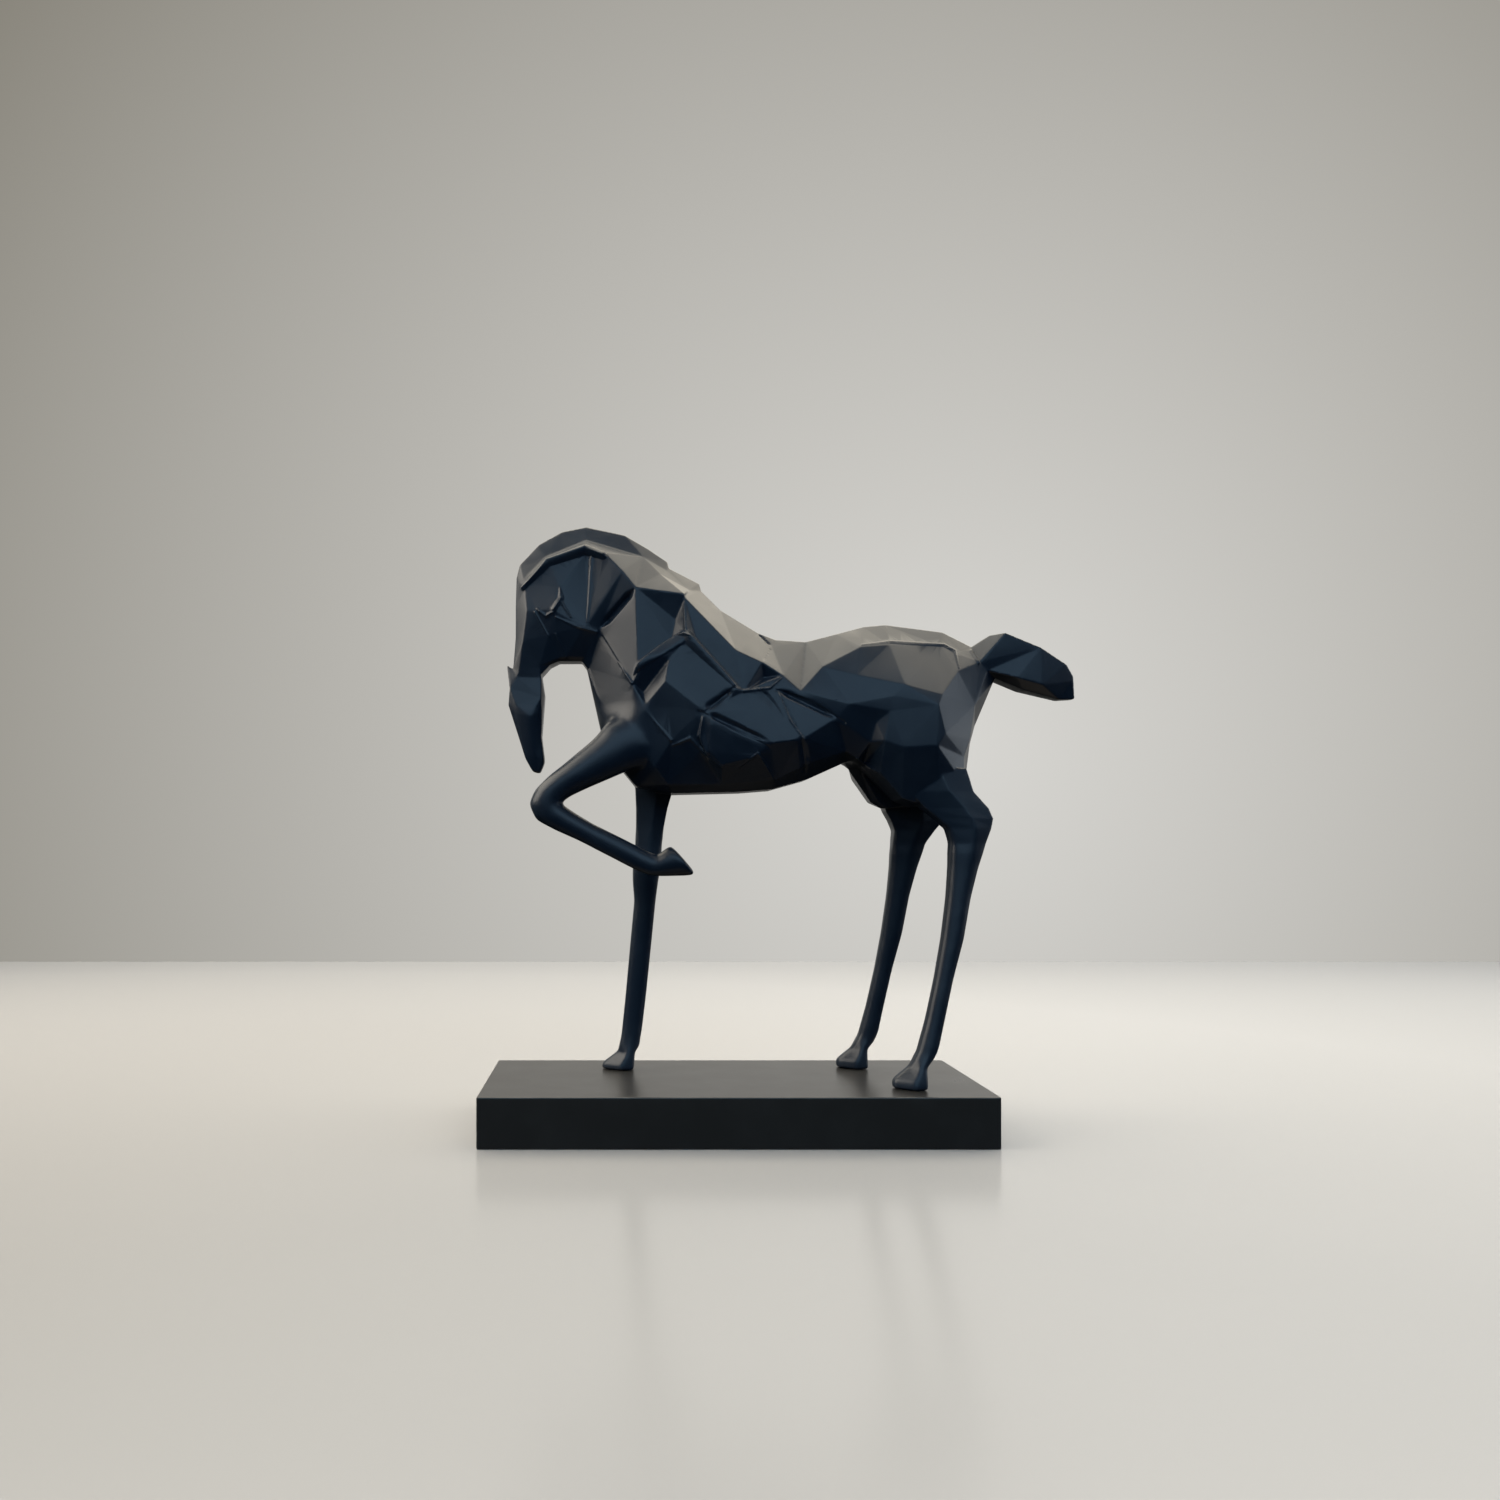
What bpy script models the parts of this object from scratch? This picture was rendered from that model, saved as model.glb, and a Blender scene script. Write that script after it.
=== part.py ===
"""Geometric horse sculpture: a faceted cast horse that walks on a rectangular plinth.

The horse faces -X and shows its left side to -Y. The origin is the middle of the plinth's underside.
"""

import math

import bmesh
import bpy
import numpy as np
from mathutils import Vector
from mathutils.geometry import barycentric_transform, delaunay_2d_cdt, intersect_point_line

# Driving dimensions in metres
HORSE_HEIGHT = 0.342
PLINTH_LENGTH = 0.300
PLINTH_WIDTH = 0.120
PLINTH_THICKNESS = 0.030
PLINTH_EDGE = 0.0008
REST_GAP = 0.0003

# The figure is drawn this many units high, hooves at height 0, and scaled to the horse's height.
# A place in it is (along, out, up): along runs tailward, out is the distance from the mid-plane.
DRAWN_HEIGHT = 342
UNIT = HORSE_HEIGHT / DRAWN_HEIGHT

# The head's facets: the silhouette first, then the corners on the cheek
HEAD_EDGE = {
    "nose_tip": (-122, 3, 190), "nose_front": (-126.5, 4, 198), "muzzle_front": (-137, 5, 231),
    "muzzle_upper": (-136, 5, 241), "nose_brow": (-138, 5, 256), "face_step": (-134, 4, 253),
    "face_mid": (-132.5, 4, 272.5), "face_eye": (-132.5, 4, 292), "face_top": (-132, 4, 310),
    "forelock": (-130, 4, 318), "poll": (-118, 3, 331),
}
JAW_EDGE = {
    "throat": (-88.5, 4, 254), "jaw_rear": (-91.5, 5, 258), "jaw_low": (-105.5, 5, 258),
    "jaw_curve": (-111, 5, 255.5), "jaw_front": (-116.5, 5, 249.5),
    "muzzle_back": (-114.5, 4, 237), "chin": (-116.5, 4, 211.5), "lip": (-114.7, 3, 196),
    "lip_low": (-117.5, 3, 189),
}
CHEEK = {
    "nose_side": (-120.5, 7, 199.5), "nose_low": (-119.7, 5.5, 192.5), "muzzle_corner": (-132, 9, 230),
    "muzzle_ridge": (-123, 12, 223.5), "muzzle_rear": (-116.5, 10, 235),
    "band_front": (-131.5, 9, 248), "band_rear": (-116.5, 11, 247.5), "brow_low": (-130, 10, 251.5),
    "brow_mid": (-127.5, 12, 269), "brow_eye": (-125, 14, 287.5), "brow_top": (-127, 12, 304),
    "brow_lock": (-127.5, 8, 307.5), "poll_edge": (-113.5, 6.5, 322), "poll_ledge": (-111.5, 14, 317.5),
    "temple": (-105, 17, 301.5), "eye": (-108.5, 17, 287), "jaw_mid": (-90, 20, 276),
    "jaw_corner": (-82, 20, 273.5), "jaw_angle": (-89.5, 10, 260), "jaw_under": (-105, 9, 259.5),
    "jaw_fore": (-117.5, 10, 254), "cheek_a": (-119, 15, 287.5), "cheek_b": (-111, 17, 273),
    "cheek_c": (-107, 18, 274), "cheek_d": (-100.5, 11, 260),
}
HEAD_CREASES = (
    "brow_low brow_mid brow_eye brow_top brow_lock poll_edge",
    "brow_top poll_ledge temple eye cheek_a brow_eye",
    "poll poll_edge poll_ledge",
    "eye jaw_mid jaw_corner jaw_angle jaw_under jaw_fore band_rear",
    "cheek_a cheek_b",
    "cheek_c cheek_d",
    "face_step brow_low band_front band_rear muzzle_rear muzzle_ridge muzzle_corner muzzle_upper",
    "nose_brow band_front muzzle_upper",
    "muzzle_front muzzle_corner nose_front nose_side nose_low",
    "muzzle_ridge nose_side lip",
    "muzzle_rear chin",
)

# The arched neck and its stepped mane
CREST_EDGE = {
    "crest_rise": (-104, 2, 339), "crest_top": (-89, 2, 342), "crest_fall": (-65, 2, 337),
    "crest_low": (-50.5, 2, 328.5), "mane_end": (-38.5, 2, 320.5), "mane_step": (-37.5, 2, 316),
    "mane_tip": (-18.5, 2, 307), "withers_step": (-17.5, 2, 302),
}
NECK = {
    "crest_edge": (-89, 5.5, 332.5), "ledge_top": (-87.5, 17, 325.5), "ledge_mid": (-77.5, 20, 321.5),
    "ledge_low": (-66.5, 25, 309), "nape": (-58.5, 29, 298.5), "crest_edge_low": (-53.5, 6.5, 322),
    "mane_edge_end": (-39, 5.5, 314), "mane_under": (-43.5, 15, 310), "neck_low": (-87, 22, 279),
    "throat_side": (-80, 13, 276), "mane_fold_end": (-25.5, 10, 300.5), "mane_fold_low": (-29.5, 27, 295),
}
NECK_CREASES = (
    "poll_edge crest_edge crest_edge_low mane_edge_end mane_under mane_fold_end mane_tip",
    "poll_ledge ledge_top ledge_mid ledge_low nape crest_edge_low",
    "crest_top crest_edge ledge_top neck_low",
    "mane_under nape mane_fold_low",
    "mane_fold_end mane_fold_low",
    "nape throat_side jaw_corner neck_low",
)

# The chest, the raised shoulder plates and the folds around them
CHEST_EDGE = {
    "brisket": (-35.5, 12, 176), "chest_low": (-58, 10, 180.5), "chest_point": (-70, 7, 195),
    "chest_front": (-80, 5, 216),
}
SHOULDER = {
    "groove_top": (-34.5, 22, 280), "groove_knee": (-37, 26, 268), "chest_line_low": (-57, 31.5, 253.5),
    "point_of_shoulder": (-60.5, 29, 240.5), "crease_top": (-77, 15, 271),
    "chest_side_top": (-87, 6.5, 253.5), "chest_side_low": (-76, 15.5, 221), "arm_top": (-59.5, 30, 213),
    "apex": (-29, 27, 293), "plate_top": (-27.5, 34, 266.5), "plate_brow": (-44, 35, 256),
    "plate_heel": (-56.5, 35, 249), "shelf_top": (-22, 29, 268), "shelf_rear": (2.5, 34, 239.5),
    "plate_rear": (0, 38, 236.5), "plate_foot": (-19, 40, 223.5), "valley_top": (-38.5, 32, 255),
    "valley_low": (-54, 28, 235.5), "plate_left": (-39.5, 36, 251), "plate_mid": (-41, 38, 241),
    "shoulder_notch": (-53, 34, 227), "arm_rear": (-37.5, 33, 206), "girth_notch": (-27, 33, 207.5),
    "girth_low": (-19.5, 33, 200), "girth_mid": (-20, 34, 214), "elbow": (-47, 30, 190.5),
}
SHOULDER_CREASES = (
    "throat_side crease_top nape",
    "nape chest_line_low",
    "nape groove_top groove_knee chest_line_low point_of_shoulder",
    "groove_top apex mane_fold_low",
    "mane_fold_low groove_top",
    "apex plate_top plate_brow plate_heel point_of_shoulder",
    "groove_knee plate_top",
    "plate_brow valley_top valley_low point_of_shoulder",
    "valley_top plate_left plate_mid shoulder_notch valley_low",
    "plate_left plate_top plate_rear plate_foot plate_mid",
    "plate_foot arm_rear shoulder_notch",
    "arm_rear girth_notch girth_low girth_mid plate_foot",
    "apex shelf_top shelf_rear plate_rear",
    "crease_top point_of_shoulder arm_top elbow belly_fore",
    "point_of_shoulder shoulder_notch",
    "throat_side chest_side_top chest_side_low arm_top",
    "arm_rear elbow",
)

# The back, the rib plates and the belly
BACK_EDGE = {
    "withers": (-5.5, 3, 290), "back_high": (17.5, 3, 276), "back_notch": (28.5, 3, 271.5),
    "back_low": (47.5, 3, 270.5), "loin": (66, 3, 275), "croup_front": (83, 3, 279.5),
    "croup_top": (97, 3, 281), "croup_rear": (132.5, 3, 276.5), "dock": (150, 4, 267),
}
BELLY_EDGE = {
    "groin": (80.5, 10, 192.5), "belly_rear": (72.5, 11, 196), "belly_waist": (47, 12, 184.5),
    "belly_keel": (25.5, 12, 178.5), "belly_low": (7, 12, 177),
}
BARREL = {
    "slope_a": (1, 33, 260), "slope_b": (17, 31, 253), "slope_c": (29.5, 32, 245),
    "slope_d": (39.5, 34, 235.5), "notch_side": (25.5, 11, 266), "joint_a": (6, 35, 235),
    "pit": (18.5, 28, 244), "pit_ridge": (18, 34, 240.5), "joint_b": (25, 33, 237),
    "flank_top": (61, 36, 219.5), "flank_mid": (40, 39, 206.5), "flank_low": (21, 41, 204),
    "rib_lip": (-14, 38, 219), "rib_a": (-15, 38, 199), "rib_b": (-7, 34, 191.5),
    "rib_c": (13.5, 35, 196.5), "rib_d": (26.5, 21, 184), "rib_e": (45, 27, 193),
    "belly_fore": (-39, 22, 180.5), "belly_side": (-6, 18, 181), "belly_hind": (68, 22, 200.5),
    "loin_side": (53.5, 26, 251),
}
BARREL_CREASES = (
    "withers_step apex slope_a slope_b slope_c slope_d",
    "slope_a joint_a slope_b pit slope_c pit_ridge joint_a",
    "joint_a pit pit_ridge",
    "shelf_rear joint_a",
    "plate_rear joint_a",
    "pit_ridge joint_b slope_c",
    "joint_b slope_d flank_top",
    "joint_b flank_top flank_mid flank_low plate_foot rib_lip rib_a rib_b",
    "flank_low rib_lip",
    "rib_a girth_low rib_b",
    "back_high notch_side back_notch",
    "notch_side slope_b",
    "notch_side slope_c",
    "back_low slope_d loin_side hip_front",
    "flank_low rib_c rib_b belly_side",
    "rib_c rib_d rib_e flank_mid",
    "belly_fore belly_side rib_d rib_e belly_hind groin_side",
    "flank_top belly_hind",
)

# The croup, the hollow of the flank and the thigh
RUMP_EDGE = {
    "rump": (151.5, 4, 217.5), "rump_low": (148.5, 5, 207), "thigh_rear": (144.4, 9, 183),
    "gaskin_rear": (127.5, 11, 169.5), "gaskin_low": (109.5, 11, 167.5), "stifle_low": (100.5, 11, 171.5),
}
HAUNCH = {
    "hip_front": (77, 28, 263.5), "hip_top": (95, 19, 265.5), "hip_rear": (128, 13, 266.5),
    "hip_corner": (137, 11, 261.5), "hip_side": (136, 22, 249), "hip_low": (122.5, 38, 233),
    "hip_mid": (100.5, 39, 238.5), "hip_fore": (94, 40, 232), "flank_ridge": (73, 33, 245),
    "flank_fold": (68, 36, 227.5), "hollow_a": (91.5, 38, 223), "hollow_b": (84, 33, 217),
    "hollow_c": (81.5, 31, 205.5), "hollow_d": (88.5, 39, 205.5), "thigh_mid": (99.5, 41, 201.5),
    "thigh_back": (119, 40, 202.5), "thigh_edge": (124, 40, 209.5), "point_of_hip": (119.5, 40, 226.5),
    "buttock": (152, 15, 256), "buttock_low": (147.5, 20, 229.5), "rear_edge": (144, 20, 207.5),
    "rear_notch": (140, 22, 197.5), "thigh_low_rear": (139.5, 23, 180.5),
    "thigh_low": (123.5, 28, 171.5), "thigh_foot": (108.5, 28, 169.5), "thigh_front": (88, 28, 187),
    "groin_side": (75.5, 24, 196), "stifle": (101.5, 26, 172),
}
HAUNCH_CREASES = (
    "hip_front hip_top hip_rear hip_corner buttock buttock_low rear_edge rear_notch",
    "hip_front flank_ridge loin_side",
    "hip_top hip_mid hip_fore hollow_a hollow_b hollow_c hollow_d thigh_mid thigh_back",
    "hip_fore flank_fold flank_ridge hip_mid point_of_hip",
    "hip_corner hip_side hip_low point_of_hip thigh_edge thigh_back rear_notch",
    "hip_side buttock dock",
    "flank_fold flank_top",
    "flank_fold hollow_c groin_side",
    "hollow_a hollow_d thigh_front",
    "thigh_edge rear_edge",
    "groin_side thigh_front stifle thigh_foot thigh_low thigh_low_rear thigh_back",
)

# The short tail, cut square like a brush
TAIL_EDGE = {
    "tail_rise": (160.5, 7, 273.8), "tail_top": (168, 14, 274), "tail_mid": (190.5, 11, 265.5),
    "tail_bend": (207.5, 8, 255.5), "tail_back": (212.5, 5, 248.5), "tail_tip": (214.5, 3, 235),
    "tail_under": (204.5, 3, 234.5), "tail_low": (181, 4, 240.5), "seat": (164, 4, 247.5),
}
TAIL = {
    "tail_notch": (157, 13, 251), "tail_ridge": (175, 17, 246.5), "tail_ridge_rear": (191, 16, 242.5),
    "tail_end": (211.5, 6, 245.5),
}
TAIL_CREASES = (
    "buttock tail_top",
    "buttock tail_mid",
    "buttock tail_notch tail_ridge tail_ridge_rear tail_end",
    "tail_notch seat",
)

# The silhouette runs once around the trunk from the nose over the back and home along the belly
SILHOUETTE = (HEAD_EDGE, CREST_EDGE, BACK_EDGE, TAIL_EDGE, RUMP_EDGE, BELLY_EDGE, CHEST_EDGE, JAW_EDGE)
CORNERS = (CHEEK, NECK, SHOULDER, BARREL, HAUNCH, TAIL)
CREASES = (
    HEAD_CREASES + NECK_CREASES + SHOULDER_CREASES + BARREL_CREASES + HAUNCH_CREASES + TAIL_CREASES
)

# Chiselled grooves between two corners: width and depth
GROOVES = (
    ("throat_side", "nape", 6, 4), ("plate_rear", "plate_foot", 3.5, 3),
    ("plate_foot", "flank_low", 4, 3.5), ("joint_b", "flank_top", 4, 3.5),
    ("back_high", "notch_side", 2.5, 2), ("notch_side", "slope_b", 1.5, 1.5),
    ("flank_mid", "rib_e", 2.5, 2), ("joint_b", "flank_mid", 1.5, 1),
)

# Shares of a groove's length at which it has its full width
GROOVE_SHOULDERS = (0.2, 0.8)

# Standing legs: height, front and rear in the side view, half width
HIND_LEG = (
    (190, 98, 140, 12), (176, 106, 144, 12), (166, 115, 153, 11), (160, 122.5, 155.5, 11),
    (154, 129, 154.5, 10.5), (146, 131, 151.5, 9.5), (130, 130.2, 146.2, 8), (112, 128.5, 141.5, 7),
    (88, 125, 137, 6.5), (64, 120.3, 130.3, 6), (40, 114.7, 124.7, 6), (22, 109.4, 120.4, 6.5),
    (17, 106.6, 117.8, 7), (12.5, 103.5, 113.3, 8), (5, 94.2, 113, 10.5), (0, 93.9, 113, 11),
)
FORE_LEG = (
    (200, -60, -34, 12), (180, -58, -34, 10), (168, -57.5, -37.5, 9), (155, -57.5, -40, 8.5),
    (138, -58, -42, 8), (130, -59, -42.5, 8.5), (121, -59, -44, 7.5), (109, -58, -45.5, 6.5),
    (83, -60.5, -48, 5.5), (44, -64, -52, 5.5), (24, -66, -54.5, 6), (15, -68, -55.5, 7),
    (11, -69, -58.5, 8), (3.5, -79, -59, 10), (0, -79.5, -59, 10.5),
)
# Raised leg: outer and inner edge (along, up) in the side view, half width
RAISED_LEG = (
    (-52, 217, -40, 196, 8), (-64, 221.5, -48, 193, 11), (-76, 219.5, -56, 191, 11.5),
    (-81, 211.5, -62.5, 189.5, 11.5), (-89.5, 203, -75.5, 184, 11),
    (-100.5, 193.5, -88.5, 178.5, 10.5), (-110, 186, -98, 174, 9.5),
    (-118.7, 177.5, -103, 170.5, 9), (-122.5, 169, -103.5, 168.5, 8.5),
    (-118.4, 159.6, -101.5, 167.5, 8), (-107, 153.5, -94.8, 163, 7), (-92.5, 147, -84, 156.5, 6),
    (-74.5, 137.6, -67.5, 148.5, 5.5), (-59, 129.6, -53, 141, 5.5), (-50.5, 126, -45, 137.5, 6),
    (-44.5, 125.5, -40.5, 141.5, 7.5), (-22.5, 126.2, -37.5, 143.5, 9.5),
)

# A standing leg's section: share of its half width that is flat in front and behind, and where the
# ridge along its side lies between front and rear
LEG_FLAT_SHARE = 0.6
LEG_RIDGE_AT = 0.58
# A hoof's section: shares of its half width at toe and heel, and where it is widest
HOOF_HEIGHT = 13
TOE_SHARE = 0.25
HEEL_SHARE = 0.8
HOOF_WIDEST_AT = 0.6
RAISED_LEG_SIDES = 12

# How far out the legs' middle lines run, at the trunk and at the hoof
HIND_LEG_OUT = (20, 34)
FORE_LEG_OUT = (22, 30)
RAISED_LEG_OUT = (21, 24)
# How far the far haunch and hind leg stand in front of the near ones, at each height
STRIDE = ((198, 0), (190, 5.5), (174, 8), (150, 24), (100, 23.5), (40, 22), (0, 20.5))
# Foremost place of the haunch, behind which the far side follows its leg
STRIDE_FRONT = 76

# The gap between the thighs: a wedge from the groin to the tail
CROTCH_FRONT = (78, 190)
CROTCH_REAR = (175, 208)
CROTCH_FOOT = 158
CROTCH_HALF_WIDTH = 9.5

# Corners of the mirrored halves closer than this, in metres, become one
MERGE_DISTANCE = 0.00001
# Length below which the facets' crossings count as one place, in drawn units
FACET_TOLERANCE = 1e-6
# How far, in drawn units, a corner moves in or out rather than leave a slope change of 1 in a facet
PLANING = 40

BLACK_SATIN = (0.012, 0.013, 0.020, 1)
SATIN_ROUGHNESS = 0.38
BLACK_MATTE = (0.006, 0.006, 0.007, 1)
MATTE_ROUGHNESS = 0.5


def clear_scene():
    """Remove every object, so that the script gives the same result each time."""
    for thing in list(bpy.data.objects):
        bpy.data.objects.remove(thing, do_unlink=True)


def new_collection(name):
    """Return a new collection that is linked to the scene."""
    collection = bpy.data.collections.new(name)
    bpy.context.scene.collection.children.link(collection)
    return collection


def new_material(name, colour, roughness):
    """Return a material with one plain surface."""
    material = bpy.data.materials.new(name)
    material.use_nodes = True
    surface = material.node_tree.nodes["Principled BSDF"]
    surface.inputs["Base Color"].default_value = colour
    surface.inputs["Roughness"].default_value = roughness
    surface.inputs["Metallic"].default_value = 0
    material.diffuse_color = colour
    return material


def place(along, out, up):
    """Return a drawn place in metres, out towards -Y, on the plinth's top."""
    foot = PLINTH_THICKNESS + REST_GAP
    return Vector((along * UNIT, -out * UNIT, foot + up * UNIT))


def new_object(name, bm, collection):
    """Turn a bmesh into an object with its faces pointing out."""
    bmesh.ops.recalc_face_normals(bm, faces=bm.faces[:])
    mesh = bpy.data.meshes.new(name)
    bm.to_mesh(mesh)
    bm.free()
    thing = bpy.data.objects.new(name, mesh)
    collection.objects.link(thing)
    return thing


def as_cutter(thing):
    """Hide a shape that only cuts or joins another one."""
    thing.hide_render = True
    thing.display_type = "WIRE"
    return thing


def combine(target, tool, operation):
    """Cut or join one object with another by an exact Boolean."""
    boolean = target.modifiers.new(tool.name, "BOOLEAN")
    boolean.operation = operation
    boolean.solver = "EXACT"
    boolean.object = tool


def gather(groups):
    """Join several groups of named places into one."""
    return {name: spot for group in groups for name, spot in group.items()}


def out_between(flat, corners):
    """Return how far out a new corner lies, as the weighted mean of the three nearest ones."""
    near = sorted(corners, key=lambda corner: (Vector((corner[0], corner[2])) - flat).length)[:3]
    shares = [1 / ((Vector((along, up)) - flat).length + FACET_TOLERANCE) for along, out, up in near]
    return sum(share * corner[1] for share, corner in zip(shares, near)) / sum(shares)


def facets_between(corners, silhouette, creases):
    """Return the corners' places, the triangles between the creases, and the creased pairs of corners.

    Where two creases cross, a corner is added.
    """
    spots = list(corners.values())
    number = {name: index for index, name in enumerate(corners)}
    flat = [Vector((along, up)) for along, out, up in spots]
    edges = []
    for crease in creases:
        stops = crease.split()
        edges += [(number[a], number[b]) for a, b in zip(stops, stops[1:])]
    rim = [number[name] for name in silhouette]
    inside_only = 1
    found = delaunay_2d_cdt(flat, edges, [rim], inside_only, FACET_TOLERANCE)
    places, lines, triangles, origins, line_origins = found[:5]
    result = []
    for place_found, origin in zip(places, origins):
        out = spots[origin[0]][1] if origin else out_between(place_found, spots)
        result.append((place_found.x, out, place_found.y))
    creased = {frozenset(line) for line, origin in zip(lines, line_origins) if origin}
    return result, triangles, creased


def slope_change(spots, shared, apex, other):
    """Return each corner's share in the bend from one triangle to the next across their edge."""
    first, second, third, fourth = (Vector((spots[i][0], spots[i][2], 0)) for i in (*shared, apex, other))
    axes = (Vector((1, 0, 0)), Vector((0, 1, 0)), Vector((0, 0, 1)))
    weights = barycentric_transform(fourth, first, second, third, *axes)
    distance = (fourth - intersect_point_line(fourth, first, second)[0]).length
    facing = 1
    for end in (apex, other):
        solid = [Vector(spots[i]) for i in (*shared, end)]
        facing *= abs((solid[1] - solid[0]).cross(solid[2] - solid[0]).normalized().y)
    share = facing / (distance * (1 + sum(abs(weight) for weight in weights)))
    return [(other, share), *((i, -share * w) for i, w in zip((*shared, apex), weights))]


def planed(spots, triangles, creased):
    """Move corners in or out so that the triangles inside each facet lie close to one plane."""
    across = {}
    for triangle in triangles:
        for index in range(3):
            pair = frozenset((triangle[index - 1], triangle[index]))
            across.setdefault(pair, []).append(triangle[index - 2])
    rows = [np.eye(len(spots))]
    wanted = [spot[1] for spot in spots]
    for pair, ends in across.items():
        if pair in creased or len(ends) < 2:
            continue
        row = np.zeros((1, len(spots)))
        for index, share in slope_change(spots, tuple(pair), *ends):
            row[0, index] += PLANING * share
        rows.append(row)
        wanted.append(0)
    outs = np.linalg.lstsq(np.vstack(rows), np.array(wanted), rcond=None)[0]
    return [(along, float(new), up) for (along, out, up), new in zip(spots, outs)]


def leg_forward(along, up):
    """Return how far the far haunch and leg move forward at this place."""
    if along < STRIDE_FRONT or up > STRIDE[0][0]:
        return 0
    for (top, above), (foot, below) in zip(STRIDE, STRIDE[1:]):
        if up >= foot:
            return above + (below - above) * (top - up) / (top - foot)
    return STRIDE[-1][1]


def make_trunk(spots, triangles, collection):
    """Build head, neck and trunk: a faceted half, mirrored, with the far haunch moved forward."""
    bm = bmesh.new()
    skin = [bm.verts.new(place(*spot)) for spot in spots]
    for triangle in triangles:
        bm.faces.new([skin[index] for index in triangle])
    for corner in skin:
        if not corner.link_faces:
            bm.verts.remove(corner)
    rim = [line for line in bm.edges if line.is_boundary]
    strip = bmesh.ops.extrude_edge_only(bm, edges=rim)
    for item in strip["geom"]:
        if isinstance(item, bmesh.types.BMVert):
            item.co.y = 0
    whole = bm.verts[:] + bm.edges[:] + bm.faces[:]
    bmesh.ops.mirror(bm, geom=whole, axis="Y", merge_dist=MERGE_DISTANCE)
    foot = place(0, 0, 0).z
    for corner in bm.verts:
        if corner.co.y > UNIT:
            along = corner.co.x / UNIT
            up = (corner.co.z - foot) / UNIT
            corner.co.x -= leg_forward(along, up) * UNIT
    return new_object("horse", bm, collection)


def angular_ring(first, last, half_width, out):
    """Return a six-cornered section with a flat front and rear and a ridge along each side."""
    flat = LEG_FLAT_SHARE * half_width
    ridge = first.lerp(last, LEG_RIDGE_AT)
    return [
        (first, out - flat), (first, out + flat), (ridge, out + half_width),
        (last, out + flat), (last, out - flat), (ridge, out - half_width),
    ]


def pointed_ring(first, last, half_width, out):
    """Return a hoof's section: a narrow toe, the widest place near the heel."""
    toe = TOE_SHARE * half_width
    heel = HEEL_SHARE * half_width
    widest = first.lerp(last, HOOF_WIDEST_AT)
    return [
        (first, out - toe), (first, out + toe), (widest, out + half_width),
        (last, out + heel), (last, out - heel), (widest, out - half_width),
    ]


def round_ring(first, last, half_width, out):
    """Return an oval section."""
    centre = first.lerp(last, 0.5)
    ring = []
    for step in range(RAISED_LEG_SIDES):
        angle = 2 * math.pi * (step + 0.5) / RAISED_LEG_SIDES
        spot = centre + (last - centre) * math.cos(angle)
        ring.append((spot, out + half_width * math.sin(angle)))
    return ring


def loft(name, rings, collection):
    """Join rings of (side view place, out) into one closed limb."""
    bm = bmesh.new()
    loops = []
    for ring in rings:
        loops.append([bm.verts.new(place(spot.x, out, spot.y)) for spot, out in ring])
    for near, far in zip(loops, loops[1:]):
        for index in range(len(near)):
            previous = index - 1
            bm.faces.new((near[previous], near[index], far[index], far[previous]))
    bm.faces.new(loops[0])
    bm.faces.new(loops[-1])
    return as_cutter(new_object(name, bm, collection))


def standing_leg(name, stations, outs, side, stride, collection):
    """Build a leg that stands: angular down to the fetlock, then a pointed hoof."""
    top = stations[0][0]
    rings = []
    for up, front, rear, half_width in stations:
        shift = leg_forward(front, up) if stride else 0
        out = side * (outs[1] + (outs[0] - outs[1]) * up / top)
        section = pointed_ring if up < HOOF_HEIGHT else angular_ring
        rings.append(section(Vector((front - shift, up)), Vector((rear - shift, up)), half_width, out))
    return loft(name, rings, collection)


def raised_leg(collection):
    """Build the round, bent leg from its outer and inner edge in the side view."""
    last = len(RAISED_LEG) - 1
    rings = []
    for index, (along, up, inner_along, inner_up, half_width) in enumerate(RAISED_LEG):
        out = RAISED_LEG_OUT[0] + (RAISED_LEG_OUT[1] - RAISED_LEG_OUT[0]) * index / last
        rings.append(round_ring(Vector((along, up)), Vector((inner_along, inner_up)), half_width, out))
    return loft("near_fore", rings, collection)


def make_crotch(collection):
    """Build the wedge that parts the thighs, its sharp edge up."""
    bm = bmesh.new()
    ends = []
    for along, up in (CROTCH_FRONT, CROTCH_REAR):
        corners = ((0, up), (CROTCH_HALF_WIDTH, CROTCH_FOOT), (-CROTCH_HALF_WIDTH, CROTCH_FOOT))
        ends.append([bm.verts.new(place(along, out, height)) for out, height in corners])
    front, rear = ends
    for index in range(3):
        bm.faces.new((front[index - 1], front[index], rear[index], rear[index - 1]))
    bm.faces.new(front)
    bm.faces.new(rear)
    return as_cutter(new_object("crotch", bm, collection))


def make_groove(name, start, end, width, depth, side, collection):
    """Build a slim spindle from corner to corner, whose inner edge cuts a V into the skin."""
    first = place(start[0], side * start[1], start[2])
    last = place(end[0], side * end[1], end[2])
    across = (last - first).cross(Vector((0, 1, 0))).normalized() * width * UNIT / 2
    inward = Vector((0, side * depth * UNIT, 0))
    bm = bmesh.new()
    loops = []
    for share in GROOVE_SHOULDERS:
        centre = first.lerp(last, share)
        corners = (centre + across, centre + inward, centre - across, centre - inward)
        loops.append([bm.verts.new(corner) for corner in corners])
    points = (bm.verts.new(first), bm.verts.new(last))
    near, far = loops
    for index in range(4):
        bm.faces.new((near[index - 1], near[index], far[index], far[index - 1]))
        bm.faces.new((near[index - 1], near[index], points[0]))
        bm.faces.new((far[index - 1], far[index], points[1]))
    return as_cutter(new_object(name, bm, collection))


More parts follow.
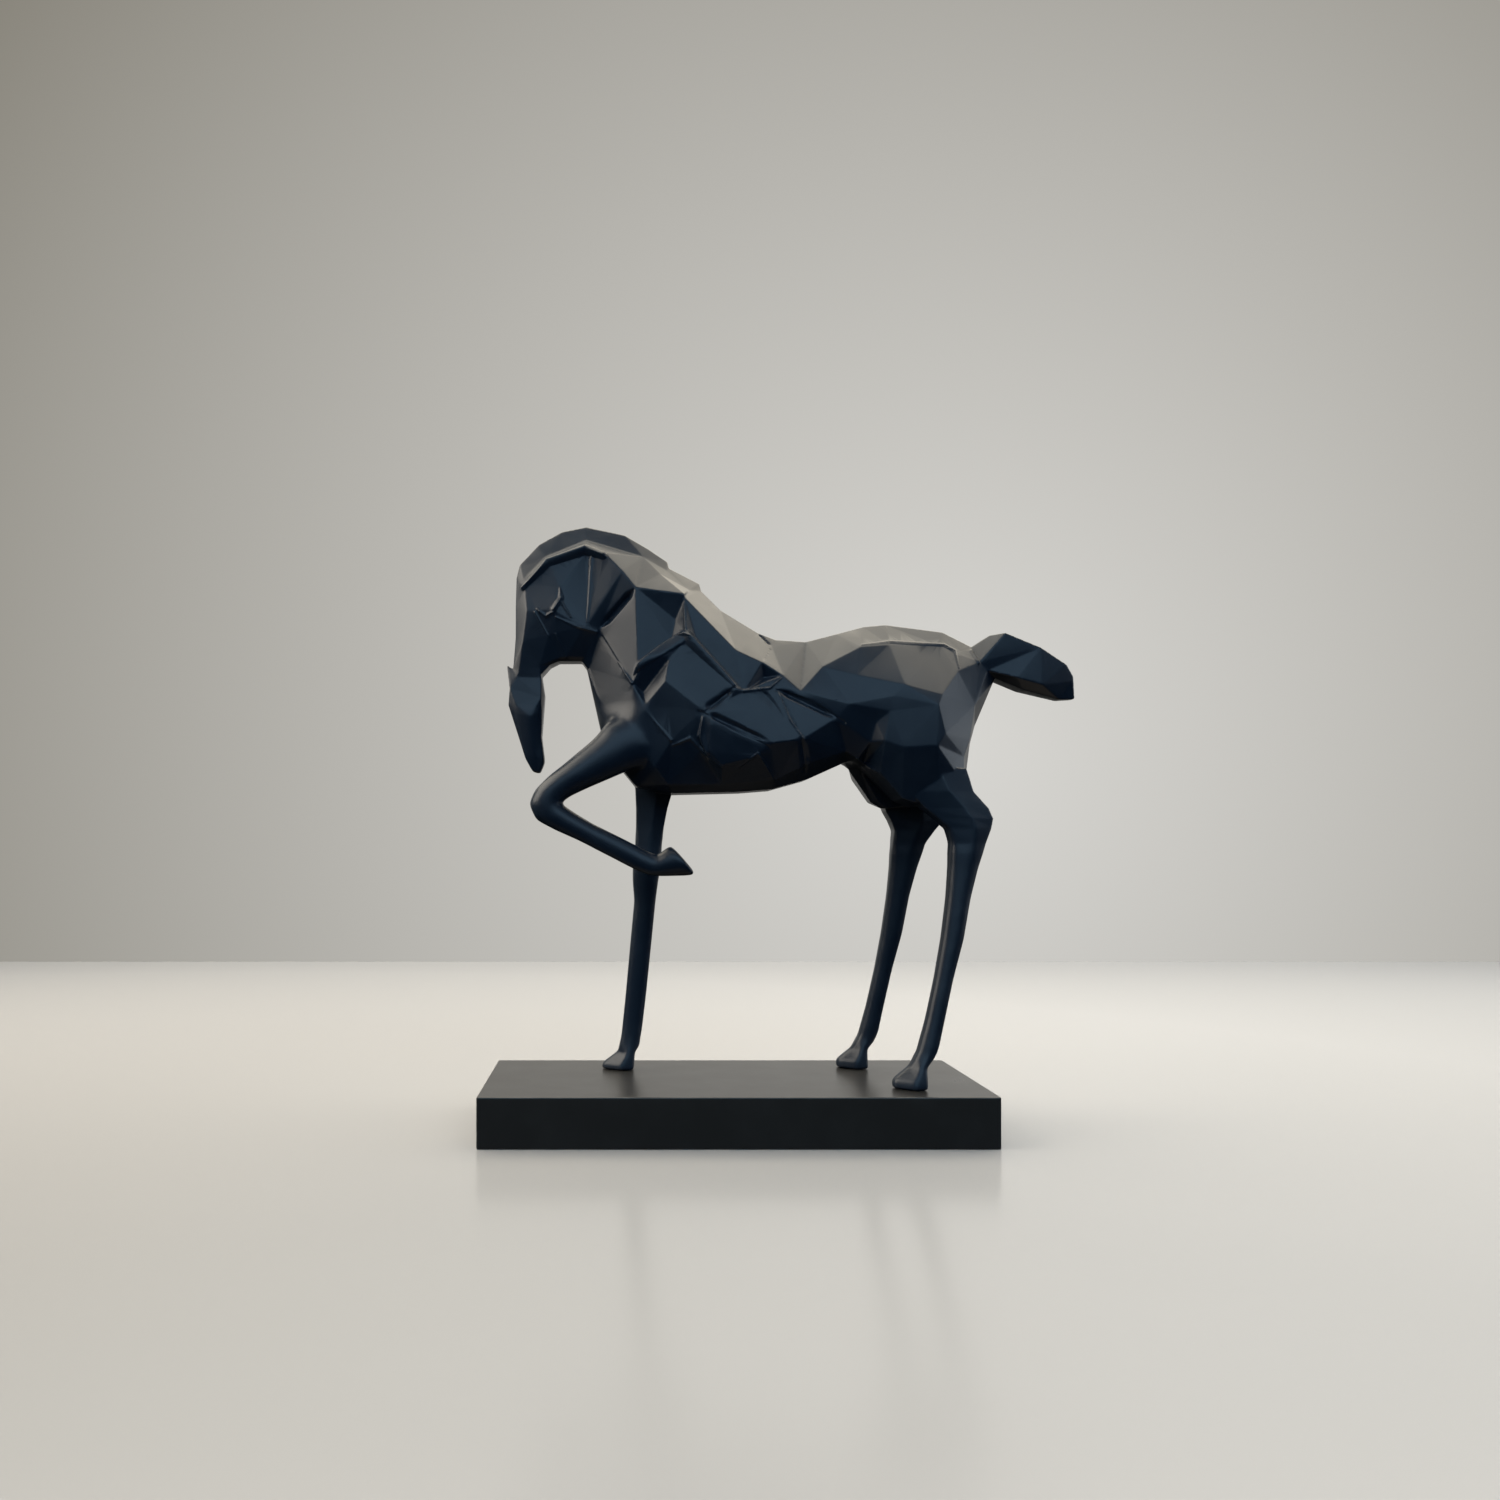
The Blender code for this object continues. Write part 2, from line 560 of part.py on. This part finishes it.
def make_horse(collection, tools):
    """Build the casting: the trunk joined with its limbs, parted between the thighs and chiselled."""
    edge = gather(SILHOUETTE)
    corners = {**edge, **gather(CORNERS)}
    spots, triangles, creased = facets_between(corners, edge, CREASES)
    spots = planed(spots, triangles, creased)
    horse = make_trunk(spots, triangles, collection)
    limbs = (
        standing_leg("near_hind", HIND_LEG, HIND_LEG_OUT, 1, False, tools),
        standing_leg("far_hind", HIND_LEG, HIND_LEG_OUT, -1, True, tools),
        standing_leg("far_fore", FORE_LEG, FORE_LEG_OUT, -1, False, tools),
        raised_leg(tools),
    )
    for limb in limbs:
        combine(horse, limb, "UNION")
    combine(horse, make_crotch(tools), "DIFFERENCE")
    carved = dict(zip(corners, spots))
    for start, end, width, depth in GROOVES:
        for side, word in ((1, "near"), (-1, "far")):
            name = f"groove_{word}_{start}"
            groove = make_groove(name, carved[start], carved[end], width, depth, side, tools)
            combine(horse, groove, "DIFFERENCE")
    horse.data.materials.append(new_material("horse_paint", BLACK_SATIN, SATIN_ROUGHNESS))
    return horse


def make_plinth(collection):
    """Build the rectangular plinth with its slightly softened edges."""
    bpy.ops.mesh.primitive_cube_add(size=1, location=(0, 0, PLINTH_THICKNESS / 2))
    plinth = bpy.context.object
    plinth.name = "plinth"
    plinth.scale = (PLINTH_LENGTH, PLINTH_WIDTH, PLINTH_THICKNESS)
    bpy.ops.object.transform_apply(location=False, rotation=False, scale=True)
    for holder in list(plinth.users_collection):
        holder.objects.unlink(plinth)
    collection.objects.link(plinth)
    bevel = plinth.modifiers.new("soft_edges", "BEVEL")
    bevel.width = PLINTH_EDGE
    bevel.segments = 2
    plinth.data.materials.append(new_material("plinth_paint", BLACK_MATTE, MATTE_ROUGHNESS))
    return plinth


clear_scene()
sculpture = new_collection("geometric_horse_sculpture")
helpers = new_collection("helpers")
make_horse(sculpture, helpers)
make_plinth(sculpture)
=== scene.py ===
"""The looks of the geometric horse sculpture: a softened navy black casting on a black plinth."""

import math

import bmesh
import bpy
import numpy as np
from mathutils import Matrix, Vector


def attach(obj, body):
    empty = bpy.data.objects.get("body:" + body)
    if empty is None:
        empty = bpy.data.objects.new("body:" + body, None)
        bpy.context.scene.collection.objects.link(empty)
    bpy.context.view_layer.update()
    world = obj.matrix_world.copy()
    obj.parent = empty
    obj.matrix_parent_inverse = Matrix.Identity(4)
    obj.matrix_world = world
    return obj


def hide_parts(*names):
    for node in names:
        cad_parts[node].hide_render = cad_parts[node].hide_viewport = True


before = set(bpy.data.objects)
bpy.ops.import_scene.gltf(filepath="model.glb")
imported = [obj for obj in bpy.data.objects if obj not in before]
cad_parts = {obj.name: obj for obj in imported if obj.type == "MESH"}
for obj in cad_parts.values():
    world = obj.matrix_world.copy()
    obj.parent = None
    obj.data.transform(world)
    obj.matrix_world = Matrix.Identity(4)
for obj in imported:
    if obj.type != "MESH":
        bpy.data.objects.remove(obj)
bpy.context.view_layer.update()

MM = 0.001

# The casting's surface: grid, softening of its edges, and about how many triangles it keeps
SKIN_GRID = 0.60 * MM
EDGE_PASSES = 3
SKIN_TRIANGLES = 180000
SMOOTHING_FACTOR = 0.5

# Rounder regions: low and high corner of each, in metres, and how fully it is smoothed. The limbs
# are grown again by about what the smoothing takes off them.
LIMBS = (
    ((-0.140, -0.075, 0.140), (-0.046, -0.003, 0.262), 1.0),
    ((-0.090, -0.075, 0.045), (0.175, 0.075, 0.180), 0.9),
    ((-0.090, -0.075, 0.020), (0.175, 0.075, 0.190), 0.35),
    ((-0.135, -0.020, 0.205), (-0.105, 0.020, 0.240), 0.25),
)
FORELEG_ROOT = (
    ((-0.094, -0.080, 0.228), (-0.055, -0.004, 0.266), 1.0),
)
REGION_FADE = 12 * MM
LIMB_PASSES = 170
LIMB_REGROWTH = 0.85 * MM
ROOT_PASSES = 400

# The photograph's camera: lens for a 36 mm sensor, place, and shift of the frame
LENS = 27.336
CAMERA_PLACE = (-0.0679, -0.710, 0.1666)
FRAME_SHIFT = (0.0867, 0.072)

# Relief of the flanks. A line is read off the photograph as corners (right, down, width), in
# its pixels, and is drawn alike on both flanks. Written from left to right, it is lit above.
# The camera's axis meets the photograph at the centre, and the scale is the lens in pixels.
PICTURE_CENTRE = (620, 858)
PICTURE_SCALE = 1139
RELIEF_PIXEL = 0.60 * MM

# Height of each kind of line as a share of its width, and how many times as wide its far side is
RIM_SLOPE = 1.15
THIN_SLOPE = 0.65
CUT_SLOPE = 0.60
RIM_FALL = 1.2
THIN_FALL = 1.0
CUT_RISE = 3.0

# Smoothing below the rims and cut lines: it reaches this many pixels to each side, and is whole
# up to half of that
BED_WIDTH = 7.0
BED_PASSES = 40

# How far the skin has to face sideways before it takes any relief, and the whole of it
FLANK_FACING = (0.15, 0.40)

# Broad lit rims: shoulder plate over its apex, lower rim of the crest, and rib
RIMS = (
    ((634, 674, 1.0), (640, 665, 3.5), (661, 650, 5), (686, 635, 5.5), (700, 650, 4.5), (720, 670, 3),
     (735, 686, 1.5)),
    ((523, 588, 2.5), (548, 562, 4), (586, 549, 5), (603, 555, 4)),
    ((708, 754, 1.5), (701, 735, 4), (703, 717, 1.5)),
)

# Thin raised lines: cheek, ear, jaw, neck, shoulder, barrel, belly, croup, dock and groin
THIN_LINES = (
    ((592, 550, 1.4), (589, 600, 1.8), (587, 622, 1.0)),
    ((554, 609, 3.2), (561, 598, 3.6), (560, 588, 1.4)),
    ((560, 600, 2.4), (571, 617, 1.2)),
    ((537, 609, 1.2), (546, 616, 2.6), (553, 612, 2.0)),
    ((556, 617, 1.2), (576, 626, 2.4), (597, 632, 1.2)),
    ((535, 612, 1.4), (549, 637, 0.8)),
    ((556, 634, 1.4), (568, 660, 0.8)),
    ((618, 662, 1.0), (632, 683, 2.2)),
    ((684, 603, 0.8), (685, 618, 1.6), (686, 630, 2.0)),
    ((646, 711, 1.2), (671, 740, 2.4)),
    ((673, 745, 1.6), (690, 738, 2.2), (707, 755, 2.0), (722, 767, 1.0)),
    ((744, 691, 2.4), (770, 688, 1.8), (782, 678, 0.8)),
    ((778, 692, 0.8), (790, 720, 1.4), (804, 739, 1.6)),
    ((738, 768, 0.8), (758, 753, 1.6), (775, 781, 0.8)),
    ((862, 645, 1.0), (890, 642, 2.0), (944, 645, 2.0), (955, 651, 2.0), (959, 668, 1.0)),
    ((971, 651, 2.0), (979, 663, 2.0)),
    ((857, 758, 1.2), (874, 770, 2.6), (884, 786, 2.4), (895, 800, 2.0), (910, 807, 1.0)),
)

# Cut lines: neck, seams between the plates of the barrel, and rear of the barrel
CUT_LINES = (
    ((602, 636, 1.2), (622, 668, 1.0)),
    ((706, 711, 1.5), (720, 699, 2.4), (735, 686, 1.0)),
    ((702, 712, 2.2), (735, 729, 2.4), (768, 746, 1.5)),
    ((779, 690, 1.5), (812, 702, 2.4), (845, 722, 1.0)),
    ((766, 694, 3.0), (774, 703, 2.4), (783, 716, 0.8)),
    ((802, 740, 1.6), (806, 768, 2.0)),
)

# Studio: a floor and four walls. They light nothing, and the back wall alone is mirrored. The walls
# glow as painted light.
STUDIO_WIDTH = 6.0
FLOOR_FRONT = -3.0
WALL_DISTANCE = 1.12
WALL_HEIGHT = 3.0

# Floor, whose colour carries painted shade: its darkest spot, the tones there and farthest from it, how
# far apart they are, and how rough it is
FLOOR_DARKEST = (-0.55, -0.35, 0)
FLOOR_TONES = ((0.38, 0.37, 0.36, 1), (0.73, 0.72, 0.73, 1))
FLOOR_SPREAD = 1.3
FLOOR_ROUGHNESS = 0.20

# Walls, which glow as painted light in a painted pool of light: their lightest spot, the tones there
# and farthest from it, and how far apart they are
WALL_LIGHTEST = (0.46, WALL_DISTANCE, 0.35)
WALL_TONES = ((0.68, 0.67, 0.64, 1), (0.24, 0.225, 0.19, 1))
WALL_SPREAD = 2.0

# Air of the room, from straight down to overhead: share of the way up, colour
AIR = (
    (0.00, (0.40, 0.34, 0.26, 1)),
    (0.07, (0.01, 0.01, 0.01, 1)),
    (0.46, (0.01, 0.01, 0.01, 1)),
    (0.61, (0.09, 0.13, 0.17, 1)),
)
AIR_STRENGTH = 1.0

# Soft boxes: name, place, aim, width, height, watts, colour
SOFT_BOXES = (
    ("ceiling_light", (0.15, 0.38, 1.20), (0.15, 0.05, 0.20), 2.7, 1.3, 28, (1.0, 0.90, 0.72)),
    ("window_light", (-1.25, -0.20, 0.86), (0.0, 0.0, 0.20), 1.2, 1.0, 15, (1.0, 0.91, 0.78)),
    ("far_window_light", (1.6, 0.2, 0.6), (0.0, 0.0, 0.20), 1.2, 1.2, 6, (0.84, 0.92, 1.0)),
    ("room_light", (0.2, -2.2, 1.45), (0.0, 0.0, 0.20), 3.2, 1.8, 19, (0.47, 0.74, 1.0)),
)

# Paints: full colour, mottled colour, colour of lighter edges: on the horse a painted highlight along
# its raised lines, on the plinth wear. Then roughness and height of grain.
HORSE_TONES = ((0.006, 0.015, 0.030, 1), (0.015, 0.027, 0.044, 1), (0.170, 0.165, 0.150, 1))
HORSE_ROUGHNESS = 0.36
HORSE_GRAIN = 0.05 * MM
PLINTH_TONES = ((0.030, 0.028, 0.026, 1), (0.038, 0.036, 0.034, 1), (0.100, 0.096, 0.092, 1))
PLINTH_ROUGHNESS = 0.30
PLINTH_GRAIN = 0.08 * MM
ROUGHNESS_SPREAD = 0.05

# Noises of the paints: cells to a metre, and detail. Then where mottling and the lighter edges (wear on
# the plinth, a patchy painted highlight on the horse) set in and are full, and how strongly the grain
# shows.
MOTTLE = (38, 5)
WEAR_AND_HIGHLIGHT_NOISE = (90, 3)
GRAIN = (1400, 2)
MOTTLE_RANGE = (0.45, 0.85)
WEAR_AND_HIGHLIGHT_RANGE = (0.35, 0.65)
GRAIN_STRENGTH = 0.25

# Where edges take the lighter tone, from none to full: how pointed a fine mesh is (the horse's painted
# highlight), and how like the normal of a plain block is to the one that a bevel of this width would
# give it (the plinth's wear)
HIGHLIGHT_POINTINESS = (0.53, 0.61)
WORN_LIKENESS = (0.995, 0.94)
EDGE_WIDTH = 1.2 * MM
EDGE_SAMPLES = 6


def added(name, data):
    """Return a new object of the scene with this data."""
    thing = bpy.data.objects.new(name, data)
    bpy.context.scene.collection.objects.link(thing)
    return thing


def evaluated_mesh(thing):
    """Return a new mesh, as an object's modifiers give it."""
    bpy.context.view_layer.update()
    depsgraph = bpy.context.evaluated_depsgraph_get()
    return bpy.data.meshes.new_from_object(thing.evaluated_get(depsgraph))


def apply_modifiers(thing):
    """Replace an object's mesh by what its modifiers give."""
    mesh = evaluated_mesh(thing)
    thing.modifiers.clear()
    thing.data = mesh


def region_share(corners, regions):
    """Return how fully each corner is smoothed: its region's share, and less towards its border."""
    result = np.zeros(len(corners))
    for low, high, share in regions:
        inside = np.minimum(corners - low, np.array(high) - corners).min(axis=1)
        fade = np.clip(inside / REGION_FADE, 0, 1)
        result = np.maximum(result, share * fade * fade * (3 - 2 * fade))
    return result


def in_picture(corners):
    """Return where the photograph shows these corners, each brought to the near flank."""
    nearness = -CAMERA_PLACE[1] - np.abs(corners[:, 1])
    right = PICTURE_CENTRE[0] + PICTURE_SCALE * (corners[:, 0] - CAMERA_PLACE[0]) / nearness
    down = PICTURE_CENTRE[1] - PICTURE_SCALE * (corners[:, 2] - CAMERA_PLACE[2]) / nearness
    return np.column_stack((right, down))


def beside_line(spots, line):
    """Return each spot's distance from a line, positive on its lit side, and the line's width there."""
    nearest = np.full(len(spots), np.inf)
    signed = np.full(len(spots), np.inf)
    width = np.ones(len(spots))
    for (u0, v0, w0), (u1, v1, w1) in zip(line, line[1:]):
        along = np.array((u1 - u0, v1 - v0), float)
        length = np.linalg.norm(along)
        share = np.clip((spots - (u0, v0)) @ along / length ** 2, 0, 1)
        offset = spots - (u0, v0) - share[:, None] * along
        distance = np.linalg.norm(offset, axis=1)
        lit = offset @ np.array((along[1], -along[0])) >= 0
        closer = distance < nearest
        nearest[closer] = distance[closer]
        signed[closer] = np.where(lit, distance, -distance)[closer]
        width[closer] = (w0 + share * (w1 - w0))[closer]
    return signed, width


def ridge(spots, line, slope, far_side):
    """Return a line's height: most on the line, and falling off on its lit and on its far side."""
    signed, width = beside_line(spots, line)
    rise = np.where(signed >= 0, signed / width, -signed / (far_side * width))
    return slope * RELIEF_PIXEL * width * np.clip(1 - rise, 0, 1)


def relief_height(corners):
    """Return how far the relief raises or lowers each corner of the skin."""
    spots = in_picture(corners)
    raised = np.zeros(len(spots))
    for line in RIMS:
        raised = np.maximum(raised, ridge(spots, line, RIM_SLOPE, RIM_FALL))
    for line in THIN_LINES:
        raised = np.maximum(raised, ridge(spots, line, THIN_SLOPE, THIN_FALL))
    cut = np.zeros(len(spots))
    for line in CUT_LINES:
        cut = np.maximum(cut, ridge(spots, line, CUT_SLOPE, CUT_RISE))
    return raised - cut


def bed_share(corners):
    """Return how fully each corner is smoothed, to lay a bed for the rims and the cut lines."""
    spots = in_picture(corners)
    result = np.zeros(len(spots))
    for line in RIMS + CUT_LINES:
        distance = np.abs(beside_line(spots, line)[0])
        result = np.maximum(result, np.clip(2 * (1 - distance / BED_WIDTH), 0, 1))
    return result


def vertex_array(mesh, name):
    """Return one vector value of every vertex as an array."""
    values = np.empty(len(mesh.vertices) * 3)
    mesh.vertices.foreach_get(name, values)
    return values.reshape(-1, 3)


def refine_relief(mesh):
    """Divide the skin once more where the relief raises or lowers it."""
    touched = relief_height(vertex_array(mesh, "co")) != 0
    fine = bmesh.new()
    fine.from_mesh(mesh)
    edges = [edge for edge in fine.edges if any(touched[corner.index] for corner in edge.verts)]
    bmesh.ops.subdivide_edges(fine, edges=edges, cuts=1, use_grid_fill=True)
    fine.to_mesh(mesh)
    fine.free()


def carve_relief(mesh):
    """Raise and lower the skin along the lines of its flanks."""
    refine_relief(mesh)
    corners = vertex_array(mesh, "co")
    normals = vertex_array(mesh, "normal")
    outward = normals[:, 1] * np.sign(corners[:, 1])
    low, high = FLANK_FACING
    share = np.clip((outward - low) / (high - low), 0, 1)
    corners += normals * (share * relief_height(corners))[:, None]
    mesh.vertices.foreach_set("co", corners.ravel())
    mesh.update()


def soften(skin, name, shares, passes):
    """Smooth each corner of the skin by its share."""
    group = skin.vertex_groups.new(name=name)
    for index in np.flatnonzero(shares).tolist():
        group.add([index], shares[index], "REPLACE")
    rounding = skin.modifiers.new(name, "SMOOTH")
    rounding.factor = SMOOTHING_FACTOR
    rounding.iterations = passes
    rounding.vertex_group = group.name


def make_casting():
    """Build the visible horse: the CAD form on a fine grid, softened, with the relief of its flanks."""
    skin = added("horse_casting", evaluated_mesh(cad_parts["horse"]))
    skin.data.name = "horse_casting"
    remesh = skin.modifiers.new("grid", "REMESH")
    remesh.mode = "VOXEL"
    remesh.voxel_size = SKIN_GRID
    remesh.use_smooth_shade = True
    apply_modifiers(skin)
    corners = vertex_array(skin.data, "co")
    soften(skin, "edges", np.ones(len(corners)), EDGE_PASSES)
    soften(skin, "bed", bed_share(corners), BED_PASSES)
    apply_modifiers(skin)
    carve_relief(skin.data)
    corners = vertex_array(skin.data, "co")
    soften(skin, "root", region_share(corners, FORELEG_ROOT), ROOT_PASSES)
    soften(skin, "limbs", region_share(corners, LIMBS), LIMB_PASSES)
    regrowth = skin.modifiers.new("regrowth", "DISPLACE")
    regrowth.strength = LIMB_REGROWTH
    regrowth.mid_level = 0
    regrowth.vertex_group = "limbs"
    fewer = skin.modifiers.new("fewer_faces", "DECIMATE")
    fewer.ratio = min(1.0, SKIN_TRIANGLES / (2 * len(skin.data.polygons)))
    apply_modifiers(skin)
    for face in skin.data.polygons:
        face.use_smooth = True
    return skin


def stretched(nodes, link, value, low, high, to_low=0.0, to_high=1.0):
    """Return a value stretched from one range to another, and held within the second."""
    stretch = nodes.new("ShaderNodeMapRange")
    stretch.inputs["From Min"].default_value = low
    stretch.inputs["From Max"].default_value = high
    stretch.inputs["To Min"].default_value = to_low
    stretch.inputs["To Max"].default_value = to_high
    link(value, stretch.inputs["Value"])
    return stretch.outputs["Result"]


def blended(nodes, link, share, first, second):
    """Return a colour between the first, a colour or a socket, and the second."""
    blend = nodes.new("ShaderNodeMix")
    blend.data_type = "RGBA"
    link(share, blend.inputs[0])
    if isinstance(first, tuple):
        blend.inputs[6].default_value = first
    else:
        link(first, blend.inputs[6])
    blend.inputs[7].default_value = second
    return blend.outputs[2]


def speckle(nodes, link, scale, detail):
    """Return a noise over the object, with this many cells to a metre."""
    place = nodes.new("ShaderNodeTexCoord")
    noise = nodes.new("ShaderNodeTexNoise")
    noise.inputs["Scale"].default_value = scale
    noise.inputs["Detail"].default_value = detail
    link(place.outputs["Object"], noise.inputs["Vector"])
    return noise.outputs["Fac"]


def raised_highlight_share(nodes, link):
    """Return one along the raised edges of a fine mesh, where the painted highlight goes, and nothing
    on its flats and in its hollows.
    """
    form = nodes.new("ShaderNodeNewGeometry")
    return stretched(nodes, link, form.outputs["Pointiness"], *HIGHLIGHT_POINTINESS)


def corner_share(nodes, link):
    """Return one along the edges of a plain block, from how far the normal turns there."""
    turned = nodes.new("ShaderNodeBevel")
    turned.samples = EDGE_SAMPLES
    turned.inputs["Radius"].default_value = EDGE_WIDTH
    flat = nodes.new("ShaderNodeNewGeometry")
    likeness = nodes.new("ShaderNodeVectorMath")
    likeness.operation = "DOT_PRODUCT"
    link(turned.outputs["Normal"], likeness.inputs[0])
    link(flat.outputs["Normal"], likeness.inputs[1])
    return stretched(nodes, link, likeness.outputs["Value"], *WORN_LIKENESS)


def new_material(name):
    """Return a material, its nodes, the call that links them, and its surface."""
    material = bpy.data.materials.new(name)
    material.use_nodes = True
    nodes = material.node_tree.nodes
    return material, nodes, material.node_tree.links.new, nodes["Principled BSDF"]


def paint(name, tones, wear_and_highlight_share, roughness, grain_height):
    """Return sprayed paint: mottled in colour and gloss, lighter along its edges (a painted highlight
    on the horse, wear on the plinth), with a fine grain.
    """
    material, nodes, link, surface = new_material(name)
    full, mottled, wear_and_highlight_tone = tones
    mottle = speckle(nodes, link, *MOTTLE)
    coat = blended(nodes, link, stretched(nodes, link, mottle, *MOTTLE_RANGE), full, mottled)
    patchy = nodes.new("ShaderNodeMath")
    patchy.operation = "MULTIPLY"
    link(wear_and_highlight_share(nodes, link), patchy.inputs[0])
    link(stretched(nodes, link, speckle(nodes, link, *WEAR_AND_HIGHLIGHT_NOISE), *WEAR_AND_HIGHLIGHT_RANGE), patchy.inputs[1])
    link(blended(nodes, link, patchy.outputs["Value"], coat, wear_and_highlight_tone), surface.inputs["Base Color"])
    smoothest, roughest = roughness - ROUGHNESS_SPREAD, roughness + ROUGHNESS_SPREAD
    link(stretched(nodes, link, mottle, 0, 1, smoothest, roughest), surface.inputs["Roughness"])
    bump = nodes.new("ShaderNodeBump")
    bump.inputs["Strength"].default_value = GRAIN_STRENGTH
    bump.inputs["Distance"].default_value = grain_height
    link(speckle(nodes, link, *GRAIN), bump.inputs["Height"])
    link(bump.outputs["Normal"], surface.inputs["Normal"])
    return material


def graded(nodes, link, centre, spread, tones):
    """Return a colour that goes from one tone to another with the distance from a spot."""
    place = nodes.new("ShaderNodeTexCoord")
    distance = nodes.new("ShaderNodeVectorMath")
    distance.operation = "DISTANCE"
    distance.inputs[1].default_value = centre
    link(place.outputs["Object"], distance.inputs[0])
    share = stretched(nodes, link, distance.outputs["Value"], 0, spread)
    return blended(nodes, link, share, *tones)


def floor_material():
    """Return the pale, glossy floor, with painted shade that is darkest at its near left."""
    material, nodes, link, surface = new_material("pale_floor")
    link(graded(nodes, link, FLOOR_DARKEST, FLOOR_SPREAD, FLOOR_TONES), surface.inputs["Base Color"])
    surface.inputs["Roughness"].default_value = FLOOR_ROUGHNESS
    return material


def wall_material():
    """Return the walls' material: painted light, which glows by itself and is lightest at one spot."""
    material, nodes, link, surface = new_material("pale_wall")
    surface.inputs["Base Color"].default_value = (0, 0, 0, 1)
    surface.inputs["Specular IOR Level"].default_value = 0
    link(graded(nodes, link, WALL_LIGHTEST, WALL_SPREAD, WALL_TONES), surface.inputs["Emission Color"])
    surface.inputs["Emission Strength"].default_value = 1
    return material


def wear(thing, material):
    """Give an object this one material."""
    thing.data.materials.clear()
    thing.data.materials.append(material)


def make_panel(name, corners, material, mirrored):
    """Build one flat panel of the studio: it lights nothing, and may be mirrored in the paint."""
    mesh = bpy.data.meshes.new(name)
    mesh.from_pydata(corners, [], [range(len(corners))])
    panel = added(name, mesh)
    panel.visible_diffuse = False
    panel.visible_glossy = mirrored
    panel.visible_shadow = False
    wear(panel, material)


def make_studio():
    """Build the pale floor and the walls around it."""
    half = STUDIO_WIDTH / 2
    corners = ((-half, FLOOR_FRONT), (half, FLOOR_FRONT), (half, WALL_DISTANCE), (-half, WALL_DISTANCE))
    floor = [(x, y, 0) for x, y in corners]
    make_panel("floor", floor, floor_material(), False)
    backdrop = wall_material()
    sides = ("front_wall", "right_wall", "back_wall", "left_wall")
    for name, (x0, y0), (x1, y1) in zip(sides, corners, corners[1:] + corners[:1]):
        wall = ((x0, y0, 0), (x1, y1, 0), (x1, y1, WALL_HEIGHT), (x0, y0, WALL_HEIGHT))
        make_panel(name, wall, backdrop, name == "back_wall")


def make_lights():
    """Hang the soft boxes."""
    for name, place, aim, width, height, watts, colour in SOFT_BOXES:
        lamp = bpy.data.lights.new(name, "AREA")
        lamp.shape = "RECTANGLE"
        lamp.size = width
        lamp.size_y = height
        lamp.energy = watts
        lamp.color = colour
        holder = added(name, lamp)
        holder.location = place
        holder.rotation_euler = (Vector(aim) - Vector(place)).to_track_quat("-Z", "Y").to_euler()


def make_air():
    """Light the room's air: warm straight below, dark up to eye level, cool and pale above."""
    world = bpy.data.worlds.new("room")
    bpy.context.scene.world = world
    world.use_nodes = True
    nodes = world.node_tree.nodes
    link = world.node_tree.links.new
    direction = nodes.new("ShaderNodeTexCoord")
    parts = nodes.new("ShaderNodeSeparateXYZ")
    height = nodes.new("ShaderNodeMapRange")
    height.inputs["From Min"].default_value = -1
    ramp = nodes.new("ShaderNodeValToRGB")
    stops = ramp.color_ramp.elements
    stops[0].position, stops[0].color = AIR[0]
    stops[1].position, stops[1].color = AIR[-1]
    for share, colour in AIR[1:-1]:
        stops.new(share).color = colour
    link(direction.outputs["Generated"], parts.inputs["Vector"])
    link(parts.outputs["Z"], height.inputs["Value"])
    link(height.outputs["Result"], ramp.inputs["Fac"])
    link(ramp.outputs["Color"], nodes["Background"].inputs["Color"])
    nodes["Background"].inputs["Strength"].default_value = AIR_STRENGTH


def make_camera():
    """Place the photograph's camera."""
    lens = bpy.data.cameras.new("camera")
    lens.lens = LENS
    lens.shift_x, lens.shift_y = FRAME_SHIFT
    camera = added("camera", lens)
    camera.location = CAMERA_PLACE
    camera.rotation_euler = (math.radians(90), 0, 0)
    bpy.context.scene.camera = camera


def set_picture():
    """Show colours as they are."""
    bpy.context.scene.view_settings.view_transform = "Standard"


horse = make_casting()
# The horse's lighter edges are a painted highlight along its raised lines, patchy like wear.
wear(horse, paint("horse_paint", HORSE_TONES, raised_highlight_share, HORSE_ROUGHNESS, HORSE_GRAIN))
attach(horse, "root")
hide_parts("horse")

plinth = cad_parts["plinth"]
wear(plinth, paint("plinth_paint", PLINTH_TONES, corner_share, PLINTH_ROUGHNESS, PLINTH_GRAIN))

make_studio()
make_lights()
make_air()
make_camera()
set_picture()
